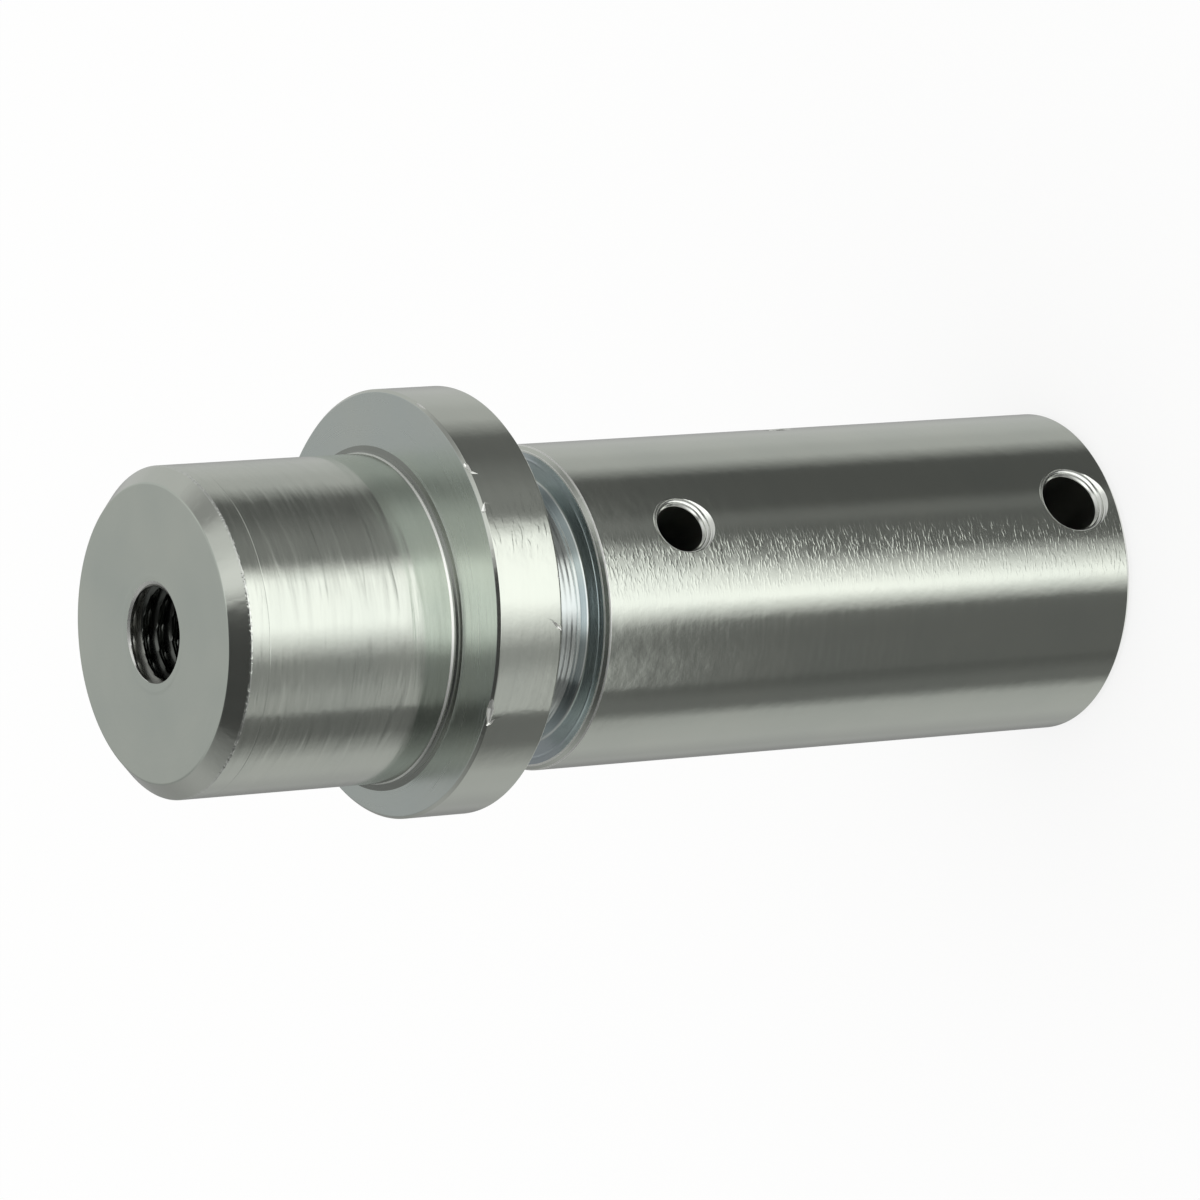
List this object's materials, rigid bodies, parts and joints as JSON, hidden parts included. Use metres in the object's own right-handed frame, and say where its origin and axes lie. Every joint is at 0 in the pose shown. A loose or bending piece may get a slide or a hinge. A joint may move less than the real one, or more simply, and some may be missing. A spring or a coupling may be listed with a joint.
{
  "type": "tie rod pin",
  "caption": "Turned steel pivot pin with an off-centre collar, a relief behind it, a threaded port in its stub and cross holes in its shank.",
  "frame": {"origin": "centre of the shank's end face, on the pin's axis", "axes": "+Z along the pin's axis, from the shank toward the threaded stub; -Y toward the side where the collar stands out most and the grease outlet opens"},
  "size_m": [0.039, 0.039, 0.0978],
  "materials": {
    "plated_steel": "bright zinc plate over turned steel"
  },
  "bodies": {
    "root": {"tie_rod_pin": "plated_steel"}
  },
  "joints": []
}
